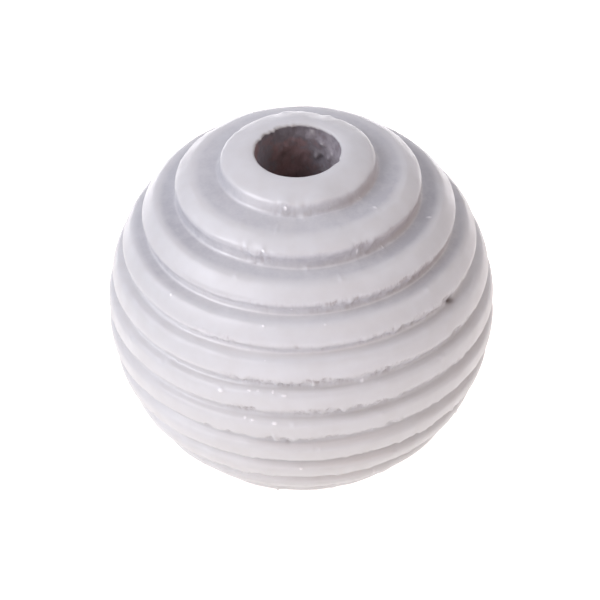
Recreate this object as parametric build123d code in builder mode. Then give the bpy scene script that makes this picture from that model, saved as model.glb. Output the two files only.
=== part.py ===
from build123d import *
import os
from math import radians, sqrt, tan

# A turned wooden bead: a ball with turned grooves round it and a plain hole through it for a cord.
# It stands with its hole upright, and the middle of the ball is the origin.

# Sizes, in millimetres and degrees
ball_diameter = 18.0      # the ball before its grooves are cut
bore_diameter = 4.0       # the cord hole
mouth_round = 0.12        # eased edge where the hole meets each end
end_ring = 0.365          # width of the flat ring faced on each end, round the mouth of the hole
cap_diameter = 7.3        # the raised cap that the last groove leaves at each end

groove_pitch = 1.6        # centre to centre, measured along the hole
groove_width = 0.42       # across the open side of the groove on the equator
groove_depth = 0.42       # of the groove on the equator, straight in towards the hole
end_growth = 1.6          # how quickly grooves grow wider and deeper towards the ends
groove_draft = 8.0        # how far each side of a groove leans open
root_round = 0.2          # inside corners at the foot of a groove
crest_round = 0.3         # outside corners, where a groove meets the ball
end_land = 0.5            # least height kept between the last groove's centre and the end

ball_radius = ball_diameter / 2
bore_radius = bore_diameter / 2
end_radius = bore_radius + mouth_round + end_ring
end_height = sqrt(ball_radius**2 - end_radius**2)

# Grooves lie at even heights, one on the equator and as many each side as fit
grooves_each_side = int((end_height - end_land) / groove_pitch)
groove_heights = [n * groove_pitch for n in range(-grooves_each_side, grooves_each_side + 1)]

# The section is drawn small by the crest round on every side and then grown by it.
# That rounds each crest by the same amount, however short the side of its groove is.
small_radius = ball_radius - crest_round
small_height = end_height - crest_round
small_end = sqrt(small_radius**2 - small_height**2)

lean = tan(radians(groove_draft))
tooth_length = ball_radius


def growth(height):
    # how many times as wide and deep as the groove on the equator
    return 1 + end_growth * (height / ball_radius) ** 2


def foot_radius(height):
    # from the axis to the foot of the groove at this height, which never cuts into the cap
    open_radius = sqrt(ball_radius**2 - height**2)
    return max(open_radius - groove_depth * growth(height), cap_diameter / 2)


def tooth(height):
    # one tooth of the turning tool: its tip cuts the foot of a groove, and it opens outwards
    cut = sqrt(ball_radius**2 - height**2) - foot_radius(height)
    tip_half = groove_width * growth(height) / 2 - cut * lean + crest_round
    tail_half = tip_half + tooth_length * lean
    with BuildSketch() as blade:
        with BuildLine():
            Polyline(
                (0, -tip_half),
                (tooth_length, -tail_half),
                (tooth_length, tail_half),
                (0, tip_half),
                close=True,
            )
        make_face()
        fillet(blade.vertices().group_by(Axis.X)[0], min(root_round + crest_round, 0.95 * tip_half))
    return blade.sketch


teeth = [tooth(height) for height in groove_heights]

# The bead is one solid, turned from one half section
with BuildPart() as bead:
    with BuildSketch(Plane.XZ) as half_section:
        with BuildLine():
            Polyline(
                (small_end, small_height),
                (0, small_height),
                (0, -small_height),
                (small_end, -small_height),
            )
            ThreePointArc((small_end, -small_height), (small_radius, 0), (small_end, small_height))
        make_face()
        for height, blade in zip(groove_heights, teeth):
            with Locations((foot_radius(height) - crest_round, height)):
                add(blade, mode=Mode.SUBTRACT)
        offset(amount=crest_round)
        Rectangle(2 * bore_radius, 2 * ball_diameter, mode=Mode.SUBTRACT)
        fillet(half_section.vertices().group_by(Axis.X)[0], mouth_round)
    revolve(axis=Axis.Z)

bead.part.label = "bead"
os.makedirs("parts", exist_ok=True)
export_step(bead.part, "parts/bead.step")
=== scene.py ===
import math
import random

import bpy
import numpy as np
from mathutils import Matrix, Vector, noise


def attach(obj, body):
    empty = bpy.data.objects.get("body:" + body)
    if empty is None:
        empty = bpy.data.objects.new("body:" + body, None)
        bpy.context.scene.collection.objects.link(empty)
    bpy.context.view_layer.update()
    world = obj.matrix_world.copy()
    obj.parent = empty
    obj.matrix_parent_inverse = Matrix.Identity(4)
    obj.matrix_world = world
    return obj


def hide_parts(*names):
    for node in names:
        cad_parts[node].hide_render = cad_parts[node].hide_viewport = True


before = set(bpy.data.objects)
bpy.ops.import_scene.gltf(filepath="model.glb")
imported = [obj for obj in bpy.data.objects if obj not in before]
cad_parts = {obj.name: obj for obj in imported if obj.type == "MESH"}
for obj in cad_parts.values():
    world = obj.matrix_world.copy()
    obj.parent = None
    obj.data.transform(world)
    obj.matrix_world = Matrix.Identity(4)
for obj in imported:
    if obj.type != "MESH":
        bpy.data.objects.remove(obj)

scene = bpy.context.scene
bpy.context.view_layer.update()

mm = 0.001

# the bead's own sizes in millimetres and degrees, as they are in the solid
beadShape = {
    "ballRadius": 9.0,
    "boreRadius": 2.0,
    "mouthRound": 0.12,
    "endRing": 0.365,
    "capRadius": 3.65,
    "groovePitch": 1.6,
    "groovesEachSide": 5,
    "grooveWidth": 0.42,
    "grooveDepth": 0.42,
    "endGrowth": 1.6,
    "grooveDraft": 8.0,
    "rootRound": 0.2,
    "crestRound": 0.3,
}

# how finely the skin is divided
beadSteps = {
    "frontColumns": 240,
    "frontArc": 132.0,        # degrees, the part that faces the camera
    "backColumns": 146,
    "outerRows": 218,
    "bendRows": 0.75,         # how much closer rows lie for each 1/mm of bend
    "bendMost": 6.0,
    "hiddenShare": 0.6,       # rows under the bead, against those in front
    "hiddenFrom": (-4.5, -6.5),   # mm of height over which they spread out
    "ringInset": 0.02,        # mm between the flat ring's rim and its first row
    "ringRow": 0.16,          # mm between the mouth and the ring's inner row
    "mouthTurns": (90, 60, 30, 0),
    "wallGap": 0.05,          # mm between the mouth and the wall's first row
    "wallSeen": 2.9,          # mm of the hole's wall that can be seen from above
    "wallSeenRows": 23,
    "wallDeepRows": 7,
    "smallSteps": 17001,      # points on the outline before it is thinned out to rows
    "evenSteps": 6000,
    "bendWindow": 15,
}


def smoothStep(low, high, value):
    t = np.clip((value - low) / (high - low), 0, 1)
    return t * t * (3 - 2 * t)


def ringRadius(height):
    # from the axis to the ball's skin at this height
    return math.sqrt(beadShape["ballRadius"] ** 2 - height ** 2)


def grooveGrowth(height):
    # how many times as wide and deep as the groove on the equator
    return 1 + beadShape["endGrowth"] * (height / beadShape["ballRadius"]) ** 2


endRadius = beadShape["boreRadius"] + beadShape["mouthRound"] + beadShape["endRing"]
endHeight = ringRadius(endRadius)
eachSide = beadShape["groovesEachSide"]
grooveHeights = [n * beadShape["groovePitch"] for n in range(-eachSide, eachSide + 1)]   # lowest first


# how the bead at hand strays from the drawn section: soft edges, and upper sides that lean more
beadWear = {
    "soften": 0.10,           # mm over which paint rounds every edge
    "upperLean": 42.0,        # degrees on the equator, and less below it by the latitude
    "leanFull": 10.0,         # latitude in degrees, above which the lean is lost
    "leanLoss": 1.1,          # for each degree of latitude
    "upperWiden": 0.28,       # mm at the full lean
    "lowerWiden": -0.04,
    "leastTip": 0.02,
    "roundShare": 0.95,       # the most of a groove's foot that its round may take
    # mm that each groove lies above its even height, lowest groove first
    "shifts": [-0.05, -0.10, -0.18, -0.31, -0.34, -0.30, -0.27, -0.21, -0.15, -0.07, -0.02],
}


def sideCurve(away, cut, foot, lean, half, wear):
    # one side of a groove on the outline drawn small by the crest round
    angle, crest = math.radians(lean), beadShape["crestRound"]
    slope = math.tan(angle)
    tip = max(half - cut * slope + crest * (1 / math.cos(angle) - slope), wear["leastTip"])
    bend = min(beadShape["rootRound"] + crest, wear["roundShare"] * tip)
    # the round at the foot touches the foot line and the leaning side
    start = tip - bend * math.tan((math.pi / 2 - angle) / 2)
    end = start + bend * math.cos(angle)
    inRound = np.clip(away - start, 0, bend)
    roundX = foot - crest + bend - np.sqrt(bend ** 2 - inRound ** 2)
    sideX = foot - crest + (away - tip) / slope
    return np.where(away < start, foot - crest, np.where(away < end, roundX, sideX))


def toothCurve(z, centre, wear):
    # how far out one groove's cut reaches at height z
    growth, draft = grooveGrowth(centre), beadShape["grooveDraft"]
    foot = max(ringRadius(centre) - beadShape["grooveDepth"] * growth, beadShape["capRadius"])
    cut = ringRadius(centre) - foot
    half = beadShape["grooveWidth"] * growth / 2
    latitude = math.degrees(math.asin(centre / beadShape["ballRadius"]))
    lean = wear["upperLean"] + min(latitude, 0) - wear["leanLoss"] * max(latitude - wear["leanFull"], 0)
    lean = max(lean, draft)
    widen = wear["upperWiden"] * (lean - draft) / (wear["upperLean"] - draft)
    upper = sideCurve(z - centre, cut, foot, lean, half + widen, wear)
    lower = sideCurve(centre - z, cut, foot, draft, half + wear["lowerWiden"], wear)
    return np.where(z > centre, upper, lower)


def growOutline(x, z, crest):
    # the small outline is grown by the crest round, one height after another
    step = z[1] - z[0]
    reach = int(crest / step)
    grownZ = np.arange(-len(z) // 2 - reach, len(z) // 2 + reach + 1) * step
    padded = np.full(len(grownZ) + 2 * reach, -1.0)
    first = reach + int(round((z[0] - grownZ[0]) / step))
    padded[first:first + len(x)] = x
    grown = np.full(len(grownZ), -1.0)
    for k in range(-reach, reach + 1):
        lift = math.sqrt(max(crest ** 2 - (k * step) ** 2, 0))
        grown = np.maximum(grown, padded[reach + k:reach + k + len(grownZ)] + lift)
    keep = grown > 0
    return np.stack([grown[keep], grownZ[keep]], 1)[::-1]


def lengthAlong(points):
    return np.concatenate([[0], np.cumsum(np.hypot(*np.diff(points, axis=0).T))])


def smoothAlong(values, spacing, width):
    # gaussian smoothing of an evenly spaced line, with its ends held
    reach = int(4 * width / spacing)      # four widths out the weights are next to nothing
    weights = np.exp(-((np.arange(-reach, reach + 1) * spacing / width) ** 2) / 2)
    before = 2 * values[0] - values[reach:0:-1]
    after = 2 * values[-1] - values[-2:-reach - 2:-1]
    return np.convolve(np.concatenate([before, values, after]), weights / weights.sum(), "valid")


def outlinePoints(steps, wear):
    # the outside of the half section, from the top down
    crest = beadShape["crestRound"]
    smallHeight = endHeight - crest
    z = np.linspace(-smallHeight, smallHeight, steps["smallSteps"])
    x = np.sqrt((beadShape["ballRadius"] - crest) ** 2 - z ** 2)
    for centre, shift in zip(grooveHeights, wear["shifts"]):
        x = np.minimum(x, toothCurve(z, centre + shift, wear))
    points = growOutline(x, z, crest)
    along = lengthAlong(points)
    even = np.linspace(0, along[-1], steps["evenSteps"])
    px = smoothAlong(np.interp(even, along, points[:, 0]), even[1], wear["soften"])
    pz = smoothAlong(np.interp(even, along, points[:, 1]), even[1], wear["soften"])
    # rows lie closer together where the outline bends, and wider apart under the bead
    turn = np.unwrap(np.arctan2(np.gradient(pz), np.gradient(px)))
    window = np.ones(steps["bendWindow"]) / steps["bendWindow"]
    bend = np.convolve(np.abs(np.gradient(turn, even)), window, "same")
    weight = 1 + steps["bendRows"] * np.minimum(bend, steps["bendMost"])
    weight *= 1 - (1 - steps["hiddenShare"]) * smoothStep(*steps["hiddenFrom"], pz)
    total = np.concatenate([[0], np.cumsum((weight[1:] + weight[:-1]) / 2 * np.diff(even))])
    spots = np.interp(np.linspace(0, total[-1], steps["outerRows"]), total, even)
    return np.stack([np.interp(spots, even, px), np.interp(spots, even, pz)], 1)


def beadRows(steps, wear):
    # once round the section: down the outside, then up the bore
    outer = outlinePoints(steps, wear)
    mouth, bore = beadShape["mouthRound"], beadShape["boreRadius"]
    outer[0] = (endRadius - steps["ringInset"], endHeight)
    outer[-1] = (endRadius - steps["ringInset"], -endHeight)
    turns = np.radians(steps["mouthTurns"])
    arcRadius = bore + mouth - mouth * np.cos(turns)
    arcHeight = endHeight - mouth + mouth * np.sin(turns)
    arc = np.stack([arcRadius, arcHeight], 1)[::-1]
    ring = np.array([[bore + mouth + steps["ringRow"], endHeight]])
    wallTop = endHeight - mouth - steps["wallGap"]
    deepTop = wallTop - steps["wallSeen"]
    seen = np.linspace(wallTop, deepTop, steps["wallSeenRows"], endpoint=False)
    deep = np.linspace(deepTop, -wallTop, steps["wallDeepRows"])
    wallHeights = np.concatenate([seen, deep])[::-1]
    wall = np.stack([np.full(len(wallHeights), bore), wallHeights], 1)
    flip = np.array([1, -1])
    return np.concatenate([outer, ring * flip, arc[::-1] * flip, wall, arc, ring]), len(outer)


def columnAngles(steps):
    # azimuth in degrees, 0 faces the camera and negative is to its left
    half = steps["frontArc"] / 2
    front = np.linspace(-half, half, steps["frontColumns"], endpoint=False)
    back = np.linspace(half, 360 - half, steps["backColumns"], endpoint=False)
    return np.concatenate([front, back])


rows, outerCount = beadRows(beadSteps, beadWear)
columns = columnAngles(beadSteps)
print("outline", len(rows), "rows,", len(columns), "columns")

# one value for each point of the skin: azimuth, height and distance from the axis
azimuth = np.tile((columns + 180) % 360 - 180, len(rows))
height = np.repeat(rows[:, 1], len(columns))
radius = np.repeat(rows[:, 0], len(columns))
onOutside = np.repeat(np.arange(len(rows)) < outerCount, len(columns)).astype(float)


def grooveMarks(shallow=0.07, window=0.45):
    # how far down the outline each groove's upper lip, foot and lower lip lie, top groove first.
    # A lip is where the groove is this shallow in mm, within this share of the pitch.
    outer = rows[:outerCount]
    alongOuter = lengthAlong(outer)
    depth = beadShape["ballRadius"] - np.hypot(*outer.T)
    found = []
    for centre in grooveHeights[::-1]:
        near = np.abs(outer[:, 1] - centre) < window * beadShape["groovePitch"]
        foot = int(np.argmax(np.where(near, depth, 0)))
        upper, lower = foot, foot
        while depth[upper] > shallow:
            upper -= 1
        while depth[lower] > shallow and lower < outerCount - 1:
            lower += 1
        found.append((alongOuter[upper], alongOuter[foot], alongOuter[lower]))
    return alongOuter, np.array(found)


# where each point lies on the outline, against the nearest groove
farAlong = 9.0                # mm, puts the hole's rows past the last groove
rowAlong, lipFootLip = grooveMarks()
rowAlong = np.concatenate([rowAlong, np.full(len(rows) - outerCount, rowAlong[-1] + farAlong)])
rowGroove = np.argmin(np.abs(rowAlong[:, None] - lipFootLip[None, :, 1]), axis=1)
along = np.repeat(rowAlong, len(columns))
groove = np.repeat(rowGroove, len(columns))          # 0 is the top groove
fromLip = along - lipFootLip[groove, 0]
fromFoot = along - lipFootLip[groove, 1]
fromEdge = along - lipFootLip[groove, 2]
downWall = fromLip / (lipFootLip[groove, 1] - lipFootLip[groove, 0])   # 0 at the upper lip, 1 at the foot
grooveRadius = np.sqrt(beadShape["ballRadius"] ** 2 - np.array(grooveHeights[::-1]) ** 2)

# noise: one seed for each use, how far a seed moves it in x, y and z, how finer lumps are added,
# and how far apart the grooves look
noiseSeeds = {
    "swell": 1,
    "ripple": 2,
    "fibre": 3,
    "drift": 5,
    "lipWave": 6,
    "rag": 7,
    "wideFibre": 8,
    "patch": 9,
    "boreRag": 12,
    "boreLump": 13,
    "borePit": 14,
    "paintWander": 21,
}
noisePart = (7.3, 3.1, 5.7)
finerScale = 2.1
finerWeight = 0.5
grooveApart = 11.0


def noiseAt(places, use):
    shift = Vector([noiseSeeds[use] * part for part in noisePart])
    return np.array([noise.noise(Vector(place) + shift) for place in places.tolist()])


def lumps(size, use, octaves=1):
    # smooth random values, about -1 to 1, with lumps this wide in mm
    a = np.radians(azimuth)
    places = np.stack([radius * np.sin(a), -radius * np.cos(a), height], 1)
    values, scale, weight = np.zeros(len(height)), 1 / size, 1.0
    for _ in range(octaves):
        values += weight * noiseAt(places * scale, use)
        scale *= finerScale
        weight *= finerWeight
    return values


def streaks(size, use, joined=False):
    # the same, this wide and this long down the outline, and apart in each groove unless they are joined
    across, up = size
    a = np.radians(azimuth)
    reach = (beadShape["ballRadius"] if joined else grooveRadius[groove]) / across
    down = along / up if joined else fromFoot / up + grooveApart * groove
    return noiseAt(np.stack([reach * np.sin(a), -reach * np.cos(a), down], 1), use)


def turnedBy(spotAzimuth):
    return (azimuth - spotAzimuth + 180) % 360 - 180


def nearSide(facing, reach, power=2):
    # 1 at this azimuth, falling away on each side of it over so many degrees, and more sharply
    # with a higher power
    return np.exp(-np.abs(turnedBy(facing) / reach) ** power)


def nearLine(distance, reach):
    return np.exp(-(distance / reach) ** 2)


def nearSpot(spotAzimuth, spotGroove, place, across, down):
    # 1 at the spot and falling away round it, sizes in mm. Place -1 is the middle of the land above,
    # 0 the upper lip, 1 the foot, 2 the lower lip and 3 the middle of the land below.
    upper, foot, lower = lipFootLip[spotGroove]
    above = lipFootLip[spotGroove - 1][2] if spotGroove else 0
    below = lipFootLip[min(spotGroove + 1, len(lipFootLip) - 1)][0]
    stops = [(above + upper) / 2, upper, foot, lower, (lower + below) / 2]
    spotAlong = np.interp(place, [-1, 0, 1, 2, 3], stops)
    spotRadius = np.interp(spotAlong, rowAlong[:outerCount], rows[:outerCount, 0])
    aside = np.radians(turnedBy(spotAzimuth)) * spotRadius
    return np.exp(-(aside / across) ** 2 - ((along - spotAlong) / down) ** 2)


def byGroove(values):
    return np.array(values)[groove]


# grain torn by the tool in the upper sides of the grooves: sizes in mm, pairs are across and down
tornGrain = {
    "facing": 14.0,           # azimuth where the tool met end grain, and again opposite
    "fade": (36.4, 65.0),     # degrees each side over which it ends
    "inGroove": [0.3, 0.7, 1.0, 1.0, 1.0, 1.0, 1.0, 1.0, 0.8, 0.7, 0.6],   # top first
    "fromLip": (-0.16, 0.02),
    "toFoot": (0.75, 1.15),   # share of the way from the lip to the foot
    "patch": (2.0, 3.0),      # it comes and goes along each groove
    "patchEdge": 0.25,
    "patchLeast": 0.2,
    "depth": 0.11,
    "sink": 0.2,
    "fibre": (0.24, 0.42),
    "wideFibre": (0.624, 0.63),
    "wideShare": 0.6,
    "rag": 0.16,              # how far it roughens the lip
    "ragSize": (0.408, 1.2),
    "ragReach": 0.2,
    "bare": 0.45,             # how much wood shows, and less where fibres stand up
    "bareLoss": (1.1, 0.5),
}


def facingGrain(grain):
    # the two sides of the bead where end grain shows
    away = np.abs(turnedBy(grain["facing"]))
    return 1 - smoothStep(*grain["fade"], np.minimum(away, 180 - away))


def tearGrain(grain):
    # how deep the grain is torn, how far it moves the lip, and how bare the wood is
    facing = facingGrain(grain)
    onRiser = smoothStep(*grain["fromLip"], fromLip) * (1 - smoothStep(*grain["toFoot"], downWall))
    fibre, wideFibre = streaks(grain["fibre"], "fibre"), streaks(grain["wideFibre"], "wideFibre")
    patch = smoothStep(-grain["patchEdge"], grain["patchEdge"], streaks(grain["patch"], "patch"))
    patchy = grain["patchLeast"] + (1 - grain["patchLeast"]) * patch
    tear = facing * onRiser * patchy * byGroove(grain["inGroove"])
    depth = grain["depth"] * tear * (fibre + grain["wideShare"] * wideFibre - grain["sink"])
    nearRag = np.maximum(nearLine(fromLip, grain["ragReach"]), onRiser)
    rag = grain["rag"] * facing * nearRag * patch * streaks(grain["ragSize"], "rag")
    loss, wideLoss = grain["bareLoss"]
    bare = tear * np.clip(grain["bare"] - loss * fibre - wideLoss * wideFibre, 0, 1)
    return depth, rag, bare


# where the grooves get painted shade, painted light and a painted highlight, and where paint pooled. Lists
# run from the top groove, and a side is its azimuth, its reach in degrees and how sharply it ends.
paintCover = {
    "wallFrom": (-0.12, 0.15),        # mm from the upper lip
    "wallTo": (0.9, 1.15),
    "treadFrom": (0.0, 0.1),          # mm from the foot
    "treadTo": (-0.45, -0.05),        # mm from the lower lip
    "paintedShade": [0.85, 0.95, 0.6, 0.1, 0.1, 0.1, 0.0, 0.0, 0.0, 0.1, 0.2],
    "paintedShadeBase": 0.85,
    "paintedShadeSide": (62.0, 34.0),
    "paintedShadeGain": (0.4, 0.35),          # how much more painted shade on that side: as a share, and in every groove alike
    "paintedShadeLeft": [0.35, 0.55, 0.55, 0.2, 0.0, 0.1, 0.2, 0.0, 0.0, 0.0, 0.0],
    "paintedShadeLeftSide": (-66.0, 28.0),
    "paintedShadeMost": 1.5,
    "paintedShadeTread": 0.75,
    "paintedShadeTorn": 0.35,                 # painted shade over end grain
    "channelFrom": 4,                 # from this groove down they are channels, with painted shade across their foot
    "channelShade": 0.55,
    "channelLip": (-0.12, 0.05),
    "channelEdge": (0.12, 0.28),
    "channelLight": (0.1, 0.3),
    "paintedLight": [0.0, 0.0, 0.15, 0.3, 0.35, 0.2, 0.45, 0.55, 0.75, 0.7, 0.4],
    "paintedLightSide": (2.0, 32.0, 4),
    "paintedLightFrom": (-0.02, 0.1),
    "paintedLightTo": (-0.25, 0.05),
    "paintedLightWall": 0.75,                # how much less on the wall
    "footHighlight": 0.5,                  # a painted highlight along the foot of the upper grooves
    "footHighlightAt": 0.04,
    "footHighlightReach": 0.07,
    "footHighlightSide": (4.0, 52.0, 4),
    "wallLight": [0.7, 0.55, 0.8, 0.7, 0.3, 0.3, 0.2, 0.0, 0.0, 0.0, 0.0],   # painted light on the walls to the front left, where the left softbox lights them
    "wallLightSide": (-38.0, 22.0),
    "wallLightAmount": 0.45,
    "wallLightShadeCut": 0.9,
    "glintSide": (-33.0, 17.0),       # where paint pooled and shines
    "footPool": 1.3,
    "footPoolReach": 0.12,
    "footPoolLeast": 0.12,
    "lipPoolReach": 0.16,
}


def coverPaint(cover):
    onWall = smoothStep(*cover["wallFrom"], fromLip) * (1 - smoothStep(*cover["wallTo"], downWall))
    onTread = smoothStep(*cover["treadFrom"], fromFoot) * (1 - smoothStep(*cover["treadTo"], fromEdge))
    channel = groove >= cover["channelFrom"]
    # painted light on the walls that face the left softbox
    wallLight = byGroove(cover["wallLight"]) * nearSide(*cover["wallLightSide"]) * onWall

    # painted shade in the grooves: more on the right and the left, and over end grain
    paintedShadeSide = nearSide(*cover["paintedShadeSide"])
    share, alike = cover["paintedShadeGain"]
    paintedShade = byGroove(cover["paintedShade"]) * (cover["paintedShadeBase"] + share * paintedShadeSide) + alike * paintedShadeSide
    paintedShade += byGroove(cover["paintedShadeLeft"]) * nearSide(*cover["paintedShadeLeftSide"])
    paintedShade = np.clip(paintedShade, 0, cover["paintedShadeMost"])
    paintedShade *= np.maximum(onWall, cover["paintedShadeTread"] * onTread) * (1 - cover["wallLightShadeCut"] * wallLight)
    pastLip = smoothStep(*cover["channelLip"], fromLip)
    acrossFoot = pastLip * (1 - smoothStep(*cover["channelEdge"], fromFoot))
    endGrain = np.where(channel, cover["channelShade"] * acrossFoot, onWall)
    paintedShade = np.maximum(paintedShade, cover["paintedShadeTorn"] * facingGrain(tornGrain) * endGrain * (1 - wallLight))

    # painted light in the grooves in front
    paintedLight = byGroove(cover["paintedLight"]) * nearSide(*cover["paintedLightSide"])
    paintedLight *= smoothStep(*cover["paintedLightFrom"], fromLip) * (1 - smoothStep(*cover["paintedLightTo"], fromEdge))
    pastFoot = np.where(channel, smoothStep(*cover["channelLight"], fromFoot), 1)
    paintedLight *= (1 - cover["paintedLightWall"] * onWall) * pastFoot
    # a painted highlight along the feet of the upper grooves, in front
    atFootHighlight = nearLine(fromFoot - cover["footHighlightAt"], cover["footHighlightReach"]) * ~channel
    paintedLight = np.maximum(paintedLight, cover["footHighlight"] * atFootHighlight * nearSide(*cover["footHighlightSide"]))
    paintedLight = np.maximum(paintedLight, cover["wallLightAmount"] * wallLight)

    # pooled at the feet and along the lips
    glint = nearSide(*cover["glintSide"])
    atFoot = cover["footPool"] * nearLine(fromFoot, cover["footPoolReach"])
    pooled = atFoot * (cover["footPoolLeast"] + (1 - cover["footPoolLeast"]) * glint)
    pooled += glint * nearLine(fromLip, cover["lipPoolReach"])
    return {"paintedShade": paintedShade, "paintedLight": paintedLight, "warmShadeShare": paintedShadeSide * onWall, "pooled": pooled}


# marks that the photo shows: azimuth, groove from the top, place in it, half width, half length, lift,
# and stain, which below 0 is a painted glint in white
beadMarks = {
    "nickRight": (58.5, 3, 1.2, 0.20, 0.13, -0.16, 1.0),
    "bridgeFront": (3.0, 4, 0.5, 0.09, 0.26, 0.16, -0.5),
    "tickRight": (27.5, 1, 0.6, 0.08, 0.22, 0.10, -0.6),
    "tickFarRight": (41.5, 1, 1.0, 0.09, 0.16, 0.10, -0.5),
    "tickRim": (72.0, 1, 1.6, 0.10, 0.14, 0.10, -0.7),
    "pinholeLow": (12.2, 6, 0.5, 0.10, 0.10, -0.08, 0.8),
    "pinholeLowLeft": (-15.2, 6, 0.8, 0.10, 0.12, -0.07, 0.5),
    "pinholeMiddle": (-5.4, 6, 1.2, 0.09, 0.10, -0.06, 0.4),
    "pinholeCentre": (2.5, 6, 0.8, 0.10, 0.08, -0.06, 0.4),
    "pinholeUpper": (-1.8, 3, 0.2, 0.08, 0.12, -0.06, 0.4),
    "bumpLeftA": (-45.5, 4, 1.3, 0.20, 0.14, 0.07, 0.0),
    "bumpLeftB": (-42.5, 4, 0.9, 0.12, 0.10, 0.06, 0.0),
    "bumpLeftC": (-47.5, 4, 1.8, 0.11, 0.10, -0.06, 0.15),
    "bumpFarLeft": (-63.0, 4, 2.2, 0.14, 0.12, 0.06, 0.0),
    "blobLeft": (-25.5, 4, 2.2, 0.15, 0.12, 0.09, -0.8),
    "speckCap": (-9.9, 0, 0.3, 0.09, 0.08, 0.06, -0.9),
    "speckRim": (-17.4, 1, -0.1, 0.09, 0.09, 0.07, -0.9),
    "speckThird": (-13.2, 2, 2.0, 0.08, 0.08, 0.06, -0.9),
    "speckThirdLeft": (-50.0, 2, 2.0, 0.09, 0.09, 0.06, -0.9),
    "speckA": (-16.6, 4, 1.7, 0.11, 0.07, 0.08, -0.9),
    "speckB": (-14.0, 4, 1.6, 0.08, 0.08, 0.09, -0.9),
    "speckC": (-9.4, 4, 1.6, 0.07, 0.12, 0.09, -0.9),
    "speckD": (-5.8, 4, 1.9, 0.12, 0.06, 0.07, -0.9),
    "speckE": (-18.2, 5, 1.6, 0.09, 0.08, 0.08, -0.9),
    "speckF": (-15.7, 5, 1.7, 0.08, 0.08, 0.09, -0.9),
    "speckG": (-9.0, 5, 1.8, 0.14, 0.09, 0.07, -0.9),
    "speckH": (-1.6, 7, 1.8, 0.10, 0.07, 0.08, -0.9),
}

# paint caught on raised fibres, mostly along the lips and feet of the grooves, each with a painted glint in
# white
paintNibs = {
    "seed": 11,
    "count": 150,
    "places": [0.0, 0.5, 1.0, 1.8],
    "placeDrift": 0.2,
    "size": (0.07, 0.12),     # mm
    "stretch": (0.8, 1.8),
    "spread": 26.0,           # degrees either side of the end grain
    "turns": [0, 0, 180],     # twice as many in front as behind
    "lift": (0.03, 0.08),
    # how white each nib's painted glint is
    "white": (0.1, 0.6),
}


def addMarks(marks, lift, stain, paintedGlint):
    for *spot, rise, dirt in marks.values():
        near = nearSpot(*spot)
        lift += rise * near
        np.maximum(stain, dirt * near, out=stain)
        np.maximum(paintedGlint, -dirt * near, out=paintedGlint)


def addNibs(nibs, lift, paintedGlint):
    rng = random.Random(nibs["seed"])
    for _ in range(nibs["count"]):
        spotGroove = rng.randrange(len(grooveHeights))
        place = rng.choice(nibs["places"]) + rng.uniform(-nibs["placeDrift"], nibs["placeDrift"])
        size = rng.uniform(*nibs["size"])
        spotAzimuth = tornGrain["facing"] + rng.gauss(0, nibs["spread"]) + rng.choice(nibs["turns"])
        near = nearSpot(spotAzimuth, spotGroove, place, size, size * rng.uniform(*nibs["stretch"]))
        lift += rng.uniform(*nibs["lift"]) * near
        np.maximum(paintedGlint, rng.uniform(*nibs["white"]) * near, out=paintedGlint)


# the torn rim of the hole: azimuth, half width in degrees, how far it stands into the hole in mm
rimTeeth = {
    "toothLeft": (-122.0, 2.6, 0.05),
    "toothFar": (-139.0, 3.2, 0.05),
    "toothNext": (-147.0, 2.2, 0.08),
    "toothBack": (-173.5, 2.4, 0.05),
    "chipLeft": (-131.0, 5.0, -0.05),
    "chipFar": (-155.0, 5.5, -0.035),
    "stepRight": (66.0, 5.0, -0.08),
    "wornFar": (172.0, 30.0, -0.05),
    "wornRight": (108.0, 34.0, -0.05),
}

# paint in the hole: azimuth, height in mm, half width in degrees, half height, film, smear, and how far
# it stands off. A smear over 1 is a white speck, and one below 0 takes paint away.
boreMarks = {
    "filmFar": (-176.0, 8.5, 44.0, 0.9, 1.1, 0.0, 0.0),
    "filmLeft": (-128.0, 7.6, 22.0, 1.6, 0.8, 0.0, 0.0),
    "filmRight": (128.0, 7.6, 42.0, 1.8, 1.0, 0.0, 0.0),
    "smearRight": (120.0, 7.6, 34.0, 1.4, 0.0, 0.7, 0.0),
    "smearUpper": (152.0, 8.1, 17.0, 0.5, 0.0, 0.45, 0.0),
    "smearLow": (141.0, 6.4, 9.0, 0.4, 0.0, 0.6, 0.03),
    "smearNear": (70.0, 8.0, 30.0, 1.0, 0.0, 0.5, 0.0),
    "speckTop": (159.3, 8.3, 4.2, 0.13, 0.0, 1.5, 0.08),
    "speckMiddle": (143.0, 7.84, 5.0, 0.14, 0.0, 1.5, 0.10),
    "speckRight": (124.1, 7.54, 4.4, 0.13, 0.0, 1.45, 0.09),
    "speckLow": (152.5, 6.97, 4.0, 0.13, 0.0, 1.4, 0.08),
    "speckSide": (133.0, 7.15, 3.6, 0.13, 0.0, 1.35, 0.08),
    "pit": (146.5, 6.85, 5.0, 0.20, 0.0, -1.0, -0.16),
}

# the rest of the hole, in mm: depths below the end, and sizes of its lumps
boreWear = {
    "rimDepth": (0.75, 0.2),
    "rag": 0.028,
    "ragSize": 0.22,
    "ragInset": 0.01,
    "ragLeast": 0.35,
    "raggedSide": (-80.0, -110.0),   # azimuth from which the rim is most ragged
    "wallDepth": (0.15, 0.7),
    "wallLumps": 0.055,
    "wallLumpSize": 0.55,
    "wallPits": 0.02,
    "wallPitSize": 0.18,
    "paintDepth": 0.09,       # how far the outer paint reaches into the mouth
    "paintWander": 0.05,
    "paintWanderSize": 0.3,
    "paintEdge": 0.07,
}


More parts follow.
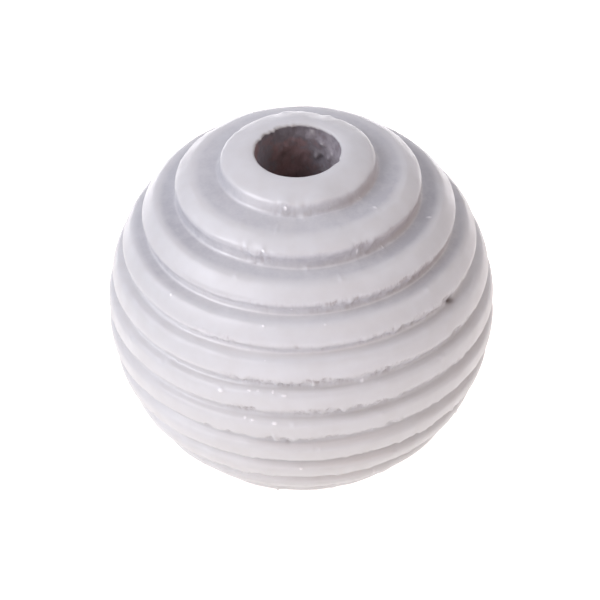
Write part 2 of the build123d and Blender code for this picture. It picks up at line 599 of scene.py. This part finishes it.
def borePatches(patches, sharp=3, wipe=2):
    # grey film and lighter smears of paint on the hole's wall, and specks that stand off it. Sharp is
    # how suddenly a patch ends, and wipe is how strongly a smear below 0 takes paint away.
    film, smear, rise = np.zeros(len(height)), np.zeros(len(height)), np.zeros(len(height))
    for patchAzimuth, patchHeight, across, tall, filmPart, smearPart, risePart in patches.values():
        near = nearSide(patchAzimuth, across, sharp) * np.exp(-np.abs((height - patchHeight) / tall) ** sharp)
        film = np.maximum(film, filmPart * near)
        smear = np.maximum(smear, smearPart * near) - wipe * max(-smearPart, 0) * near
        rise += risePart * near
    return film, np.maximum(smear, 0), rise


def boreBare(wear):
    # 1 where the hole's wall has no outer paint on it
    wander = wear["paintWander"] * lumps(wear["paintWanderSize"], "paintWander", 2)
    return smoothStep(0, wear["paintEdge"], endHeight - wear["paintDepth"] + wander - height)


def boreInward(wear, rise):
    # how far each point of the hole is moved towards the axis
    nearRim = smoothStep(*(endHeight - depth for depth in wear["rimDepth"]), height)
    rag = wear["rag"] * lumps(wear["ragSize"], "boreRag", 2) - wear["ragInset"]
    inward = rag * (wear["ragLeast"] + smoothStep(*wear["raggedSide"], azimuth))
    for toothAzimuth, across, reach in rimTeeth.values():
        inward += reach * nearSide(toothAzimuth, across)
    wall = smoothStep(*(endHeight - depth for depth in wear["wallDepth"]), np.abs(height))
    rough = wear["wallLumps"] * lumps(wear["wallLumpSize"], "boreLump", 3)
    rough += wear["wallPits"] * lumps(wear["wallPitSize"], "borePit")
    return nearRim * inward + wall * (rise - rough)


# how the whole skin wanders, in mm: pairs are sizes across and down
skinWander = {
    "swell": 0.022,
    "swellSize": 5.5,
    "ripple": 0.006,          # brush and dip ripples
    "rippleSize": 1.1,
    "drift": 0.06,            # rings stray up and down
    "driftSize": (3.4, 2.5),
    "lipWave": 0.05,          # soft waves along both lips of a groove
    "lipWaveSize": (0.9, 1.5),
    "lipReach": 0.2,
    "edgeReach": 0.25,
    "ringHold": 0.12,         # the flat end rings stay flat over this height
}


def shapeSkin(wander):
    tornDepth, tornRag, tornBare = tearGrain(tornGrain)
    lift = wander["swell"] * lumps(wander["swellSize"], "swell")
    lift += wander["ripple"] * lumps(wander["rippleSize"], "ripple", 2)
    lift += tornDepth
    nearLips = np.maximum(nearLine(fromLip, wander["lipReach"]), nearLine(fromEdge, wander["edgeReach"]))
    drift = wander["drift"] * streaks(wander["driftSize"], "drift", joined=True)
    drift += wander["lipWave"] * nearLips * streaks(wander["lipWaveSize"], "lipWave") + tornRag

    spots, stain, paintedGlint = np.zeros(len(height)), np.zeros(len(height)), np.zeros(len(height))
    addMarks(beadMarks, spots, stain, paintedGlint)
    addNibs(paintNibs, spots, paintedGlint)

    # the outline's own outward direction, row by row
    dx, dz = np.gradient(rows[:, 0]), np.gradient(rows[:, 1])
    size = np.hypot(dx, dz)
    outX, outZ = np.repeat(-dz / size, len(columns)), np.repeat(dx / size, len(columns))
    hold = smoothStep(endHeight, endHeight - wander["ringHold"], np.abs(height))
    moveX = onOutside * (lift * outX + spots * radius / beadShape["ballRadius"])
    moveZ = onOutside * hold * (lift * outZ + drift + spots * height / beadShape["ballRadius"])

    film, smear, rise = borePatches(boreMarks)
    inside = 1 - onOutside
    moveX -= inside * boreInward(boreWear, rise)

    a = np.radians(azimuth)
    places = np.stack([(radius + moveX) * np.sin(a), -(radius + moveX) * np.cos(a), height + moveZ], 1)
    outer = {"torn": tornBare, "stain": stain, "paintedGlint": paintedGlint, **coverPaint(paintCover)}
    inner = {"bare": boreBare(boreWear), "film": film, "smear": smear}
    marks = {name: values * onOutside for name, values in outer.items()}
    marks.update({name: values * inside for name, values in inner.items()})
    return places, marks


def buildBead():
    places, marks = shapeSkin(skinWander)
    count, turns = len(rows), len(columns)
    r, c = np.meshgrid(np.arange(count), np.arange(turns), indexing="ij")
    below, beside = (r + 1) % count, (c + 1) % turns
    corners = [r * turns + c, below * turns + c, below * turns + beside, r * turns + beside]
    faces = np.stack(corners, -1).reshape(-1, 4)
    mesh = bpy.data.meshes.new("turnedBead")
    mesh.from_pydata((places * mm).tolist(), [], faces.tolist())
    for name, values in marks.items():
        layer = mesh.attributes.new(name, "FLOAT", "POINT")
        layer.data.foreach_set("value", values)
    mesh.validate()
    mesh.polygons.foreach_set("use_smooth", [True] * len(mesh.polygons))
    bead = bpy.data.objects.new("turnedBead", mesh)
    scene.collection.objects.link(bead)
    return bead


bead = buildBead()
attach(bead, "root")
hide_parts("bead")
print("bead skin", len(bead.data.polygons), "faces")


# satin paint over wood. A grain is its size in mm, its detail and its stretch, and a span is what is
# taken from it and what that becomes.
paintLook = {
    "paint": (0.615, 0.615, 0.615, 1),
    "paintWarm": (0.595, 0.59, 0.585, 1),
    # a lighter paint for painted light in the grooves, on the lit walls and as a highlight along the feet
    "paintLit": (0.80, 0.79, 0.79, 1),
    # the next two colours are painted shade in the grooves: cool from the light above, and warm on the walls
    # from light bounced off the floor
    "grooveShade": (0.455, 0.455, 0.475, 1),
    "grooveShadeWarm": (0.45, 0.42, 0.415, 1),
    "tornShade": (0.34, 0.305, 0.30, 1),
    # white for painted glints on specks and nibs
    "paintedGlint": (0.95, 0.94, 0.94, 1),
    "dirt": (0.16, 0.13, 0.125, 1),
    "wood": (0.30, 0.205, 0.215, 1),
    "woodDark": (0.20, 0.145, 0.15, 1),
    "film": (0.20, 0.19, 0.215, 1),
    "smear": (0.33, 0.305, 0.33, 1),
    "mottle": (0.9, 3),
    "mottleSpan": ((0.35, 0.65), (0, 1)),
    "speckle": (0.16, 2),
    "speckleSpan": ((0.3, 0.7), (0.8, 1.1)),
    "blotch": (0.55, 2),
    "blotchSpan": ((0.3, 0.7), (0.7, 1.2)),
    "tornGrain": (0.12, 2, (1, 1, 0.3)),
    "tornSpan": ((0.4, 0.62), (0, 0.8)),
    "paintedGlintSpan": ((0.25, 0.8), (0, 1)),
    "woodGrain": (0.6, 4, (1, 1, 0.8)),
    "woodSpan": ((0.35, 0.65), (0, 1)),
    "broken": (0.4, 4),       # breaks up the edges of film and smears
    "brokenSpan": ((0.35, 0.65), (-0.3, 0.3)),
    "filmSpan": ((0.25, 0.75), (0, 0.9)),
    "smearSpan": ((0.2, 0.9), (0, 1)),
    "speckSpan": ((1.1, 1.8), (0, 1)),
    "roughness": (0.40, 0.50),
    "bareRoughness": 0.4,     # added where the wood is bare
    "coat": (0.08, 0.9),      # over the skin, and where paint pooled
    "coatRoughness": 0.09,
    "peel": (0.28, 2),
    "peelDepth": 0.004,
    "fibre": (0.09, 2, (1, 1, 0.25)),
    "fibreDepth": 0.02,
}


def addNode(tree, kind, **settings):
    node = tree.nodes.new(kind)
    for name, value in settings.items():
        setattr(node, name, value)
    return node


def feed(tree, socket, value):
    if isinstance(value, bpy.types.NodeSocket):
        tree.links.new(value, socket)
    else:
        socket.default_value = value


def blend(tree, factor, first, second):
    node = addNode(tree, "ShaderNodeMix", data_type="RGBA")
    for index, value in ((0, factor), (6, first), (7, second)):
        feed(tree, node.inputs[index], value)
    return node.outputs[2]


def reckon(tree, operation, first, second, clamp=False):
    node = addNode(tree, "ShaderNodeMath", operation=operation, use_clamp=clamp)
    feed(tree, node.inputs[0], first)
    feed(tree, node.inputs[1], second)
    return node.outputs[0]


def remap(tree, value, taken, given):
    node = addNode(tree, "ShaderNodeMapRange")
    for index, entry in enumerate((value, *taken, *given)):
        feed(tree, node.inputs[index], entry)
    return node.outputs[0]


def grain(tree, size, detail, stretch=(1, 1, 1)):
    coords = addNode(tree, "ShaderNodeTexCoord")
    mapping = addNode(tree, "ShaderNodeMapping")
    mapping.inputs["Scale"].default_value = stretch
    texture = addNode(tree, "ShaderNodeTexNoise")
    texture.inputs["Scale"].default_value = 1 / (size * mm)
    texture.inputs["Detail"].default_value = detail
    tree.links.new(coords.outputs["Object"], mapping.inputs["Vector"])
    tree.links.new(mapping.outputs["Vector"], texture.inputs["Vector"])
    return texture.outputs[0]


def spread(tree, look, name, span):
    return remap(tree, grain(tree, *look[name]), *look[span])


def markValue(tree, name):
    return addNode(tree, "ShaderNodeAttribute", attribute_name=name).outputs["Fac"]


def skinColour(tree, look, mottle):
    colour = blend(tree, mottle, look["paint"], look["paintWarm"])
    # painted light: lighter in the front grooves, on the lit walls and along the feet
    colour = blend(tree, markValue(tree, "paintedLight"), colour, look["paintLit"])
    # painted shade down in the grooves: cool, and warm on the walls towards the right
    patchy = reckon(tree, "MULTIPLY", spread(tree, look, "speckle", "speckleSpan"),
                    spread(tree, look, "blotch", "blotchSpan"))
    inGroove = reckon(tree, "MULTIPLY", markValue(tree, "paintedShade"), patchy, True)
    shade = blend(tree, markValue(tree, "warmShadeShare"), look["grooveShade"], look["grooveShadeWarm"])
    colour = blend(tree, inGroove, colour, shade)
    tornPatchy = spread(tree, look, "tornGrain", "tornSpan")
    tornPart = reckon(tree, "MULTIPLY", markValue(tree, "torn"), tornPatchy, True)
    colour = blend(tree, tornPart, colour, look["tornShade"])
    # painted glints, white on specks and nibs
    colour = blend(tree, remap(tree, markValue(tree, "paintedGlint"), *look["paintedGlintSpan"]), colour, look["paintedGlint"])
    return blend(tree, markValue(tree, "stain"), colour, look["dirt"])


def boreColour(tree, look):
    # brown wood, with a grey film, smears and specks of the paint that ran in
    wood = blend(tree, spread(tree, look, "woodGrain", "woodSpan"), look["woodDark"], look["wood"])
    broken = spread(tree, look, "broken", "brokenSpan")
    smear = markValue(tree, "smear")
    filmed = remap(tree, reckon(tree, "ADD", markValue(tree, "film"), broken), *look["filmSpan"])
    smeared = remap(tree, reckon(tree, "ADD", smear, broken), *look["smearSpan"])
    wall = blend(tree, smeared, blend(tree, filmed, wood, look["film"]), look["smear"])
    return blend(tree, remap(tree, smear, *look["speckSpan"]), wall, look["paint"])


def makePaint(look):
    paint = bpy.data.materials.new("beadPaint")
    paint.use_nodes = True
    tree = paint.node_tree
    shader = tree.nodes["Principled BSDF"]
    bare = markValue(tree, "bare")
    mottle = spread(tree, look, "mottle", "mottleSpan")
    colour = blend(tree, bare, skinColour(tree, look, mottle), boreColour(tree, look))
    tree.links.new(colour, shader.inputs["Base Color"])

    dull = reckon(tree, "MAXIMUM", markValue(tree, "torn"), bare)
    rough = remap(tree, mottle, (0, 1), look["roughness"])
    rough = reckon(tree, "ADD", rough, reckon(tree, "MULTIPLY", dull, look["bareRoughness"]), True)
    tree.links.new(rough, shader.inputs["Roughness"])
    coat = remap(tree, markValue(tree, "pooled"), (0, 1), look["coat"])
    coat = reckon(tree, "MULTIPLY", coat, reckon(tree, "SUBTRACT", 1.0, bare, True))
    tree.links.new(coat, shader.inputs["Coat Weight"])
    shader.inputs["Coat Roughness"].default_value = look["coatRoughness"]

    # the paint's own fine peel, and fibres where it is torn or bare
    peel = addNode(tree, "ShaderNodeBump")
    peel.inputs["Distance"].default_value = look["peelDepth"] * mm
    tree.links.new(grain(tree, *look["peel"]), peel.inputs["Height"])
    fibres = addNode(tree, "ShaderNodeBump")
    fibres.inputs["Distance"].default_value = look["fibreDepth"] * mm
    tree.links.new(reckon(tree, "MULTIPLY", grain(tree, *look["fibre"]), dull), fibres.inputs["Height"])
    tree.links.new(peel.outputs["Normal"], fibres.inputs["Normal"])
    tree.links.new(fibres.outputs["Normal"], shader.inputs["Normal"])
    return paint


bead.data.materials.append(makePaint(paintLook))
print("paint mixed")


# camera: a long lens looking down on the bead
cameraSet = {
    "elevation": 37.4,
    "roll": 1.5,
    "distance": 720.0,        # mm from the middle of the ball
    "ballPixels": 192.3,      # half the ball's width in the frame
    "middle": (301.2, 298.2),
    "frame": 600,             # pixels
    "sensor": 36,
    "clip": (0.01, 10),       # metres
}


def setCamera(view):
    e, roll = math.radians(view["elevation"]), math.radians(view["roll"])
    right, up = Vector((1, 0, 0)), Vector((0, math.sin(e), math.cos(e)))
    back = Vector((0, -math.cos(e), math.sin(e)))
    camRight = right * math.cos(roll) - up * math.sin(roll)
    camUp = right * math.sin(roll) + up * math.cos(roll)
    ratio = view["distance"] / beadShape["ballRadius"]
    focal = view["ballPixels"] * math.sqrt(ratio ** 2 - 1)
    perPixel = view["distance"] / focal
    half = view["frame"] / 2
    aim = -camRight * (view["middle"][0] - half) * perPixel + camUp * (view["middle"][1] - half) * perPixel
    data = bpy.data.cameras.new("beadCamera")
    data.sensor_width = view["sensor"]
    data.lens = focal / view["frame"] * view["sensor"]
    data.clip_start, data.clip_end = view["clip"]
    camera = bpy.data.objects.new("beadCamera", data)
    scene.collection.objects.link(camera)
    place = (aim + back * view["distance"]) * mm
    camera.matrix_world = Matrix.Translation(place) @ Matrix((camRight, camUp, back)).transposed().to_4x4()
    scene.camera = camera


setCamera(cameraSet)

# softboxes: azimuth and elevation in degrees, width and height in metres, colour and power in watts
softboxes = {
    "softboxLeft": (-56, 35, 0.40, 0.28, (0.95, 0.94, 1.0), 1.5),
    "softboxFarLeft": (-95, 35, 0.34, 0.34, (0.9, 0.9, 1.0), 0.86),
    "softboxRight": (30, 35, 0.34, 0.34, (1.0, 0.55, 0.25), 0.24),
    "softboxFarRight": (75, 35, 0.34, 0.34, (0.9, 0.92, 1.0), 0.62),
    "softboxBackRight": (120, 35, 0.34, 0.34, (1.0, 0.86, 0.84), 0.34),
    "softboxBack": (165, 30, 0.34, 0.34, (0.82, 0.88, 1.0), 0.29),
    "softboxBackLeft": (-150, 35, 0.34, 0.34, (1.0, 0.85, 0.95), 0.18),
    "softboxTop": (0, 89, 0.34, 0.34, (0.7, 0.78, 1.0), 0.32),
}
softboxDistance = 0.45


def makeSoftbox(name, box):
    boxAzimuth, boxElevation, width, tall, colour, power = box
    data = bpy.data.lights.new(name, "AREA")
    data.shape = "RECTANGLE"
    data.size, data.size_y = width, tall
    data.color, data.energy = colour, power
    lamp = bpy.data.objects.new(name, data)
    scene.collection.objects.link(lamp)
    a, e = math.radians(boxAzimuth), math.radians(boxElevation)
    toLamp = Vector((math.sin(a) * math.cos(e), -math.cos(a) * math.cos(e), math.sin(e)))
    lamp.location = toLamp * softboxDistance
    lamp.rotation_euler = (-toLamp).to_track_quat("-Z", "Y").to_euler()


# the floor's glow round the bead, painted light that lights the bead from below, in mm: a painted shadow
# where the bead hides it, then near, then far on each side
floorPaintedLight = {
    "hiddenCentre": 9.5,      # behind the bead's axis
    "hiddenHalf": (8.0, 12.7),
    "hiddenEdge": (0.72, 1.06),
    # the colour of the painted shadow
    "paintedShadow": (0.0, 0.0, 0.0),
    "nearFront": (1.08, 1.01, 1.0),
    "nearBack": (1.45, 1.35, 1.3),
    "nearTurn": (-6.0, 6.0),
    "nearEdge": (30.6, 37.4),
    "front": (1.95, 1.93, 2.2),
    "right": (0.60, 0.54, 0.56),
    "back": (2.95, 2.85, 2.9),
    "left": (0.0, 0.0, 0.0),
    "sidePower": 8,           # how sharply one far side gives way to the next
}

# a round floor whose rings lie close together round the bead and far apart beyond it
floorShape = {
    "middle": 0.01,
    "ringStep": 0.75,
    "rings": 55,
    "farRings": [60, 150, 1500],
    "turnStep": 3,            # degrees
    "tone": (0.15, 0.15, 0.15, 1),
    "roughness": 0.9,
    "glowStrength": 1.0,
}


def glowAt(x, y, glow):
    # blends the four sides by direction, then the near part and the painted shadow by distance
    turn = math.atan2(x, -y)
    sides = np.array([glow["front"], glow["right"], glow["back"], glow["left"]])
    facing = [math.cos(turn - side * math.pi / 2) for side in range(4)]
    share = np.array([max(part, 0) ** glow["sidePower"] for part in facing])
    far = share @ sides / share.sum()
    back = smoothStep(*glow["nearTurn"], y)
    near = np.array(glow["nearFront"]) * (1 - back) + np.array(glow["nearBack"]) * back
    outer = smoothStep(*glow["nearEdge"], math.hypot(x, y))
    inside = math.hypot(x / glow["hiddenHalf"][0], (y - glow["hiddenCentre"]) / glow["hiddenHalf"][1])
    paintedShadow = 1 - smoothStep(*glow["hiddenEdge"], inside)
    return (near * (1 - outer) + far * outer) * (1 - paintedShadow) + np.array(glow["paintedShadow"]) * paintedShadow


def makeFloor(shape, glow):
    steps = [k * shape["ringStep"] for k in range(1, shape["rings"] + 1)]
    distances = [shape["middle"], *steps, *shape["farRings"]]
    turns = np.radians(np.arange(0, 360, shape["turnStep"]))
    verts, tones = [], []
    for distance in distances:
        for turn in turns:
            x, y = distance * math.sin(turn), -distance * math.cos(turn)
            verts.append((x * mm, y * mm, -endHeight * mm))
            tones.append(glowAt(x, y, glow))
    count = len(turns)
    faces = []
    for r in range(len(distances) - 1):
        for c in range(count):
            beside = (c + 1) % count
            faces.append((r * count + c, (r + 1) * count + c, (r + 1) * count + beside, r * count + beside))
    mesh = bpy.data.meshes.new("paleFloor")
    mesh.from_pydata(verts, [], faces)
    layer = mesh.attributes.new("glow", "FLOAT_VECTOR", "POINT")
    layer.data.foreach_set("vector", np.array(tones).ravel())
    floor = bpy.data.objects.new("paleFloor", mesh)
    scene.collection.objects.link(floor)
    white = bpy.data.materials.new("paleFloor")
    white.use_nodes = True
    tree = white.node_tree
    shader = tree.nodes["Principled BSDF"]
    shader.inputs["Base Color"].default_value = shape["tone"]
    shader.inputs["Roughness"].default_value = shape["roughness"]
    # the floor's own tone is dark: its pale look and the light it casts on the bead are painted glow
    shader.inputs["Emission Strength"].default_value = shape["glowStrength"]
    glowing = addNode(tree, "ShaderNodeAttribute", attribute_name="glow")
    tree.links.new(glowing.outputs["Vector"], shader.inputs["Emission Color"])
    mesh.materials.append(white)


makeFloor(floorShape, floorPaintedLight)
for name, box in softboxes.items():
    makeSoftbox(name, box)
world = bpy.data.worlds.new("studioDark")
world.use_nodes = True
world.node_tree.nodes["Background"].inputs["Strength"].default_value = 0
scene.world = world
scene.view_settings.view_transform = "Standard"
print("camera, floor and", len(softboxes), "softboxes set")
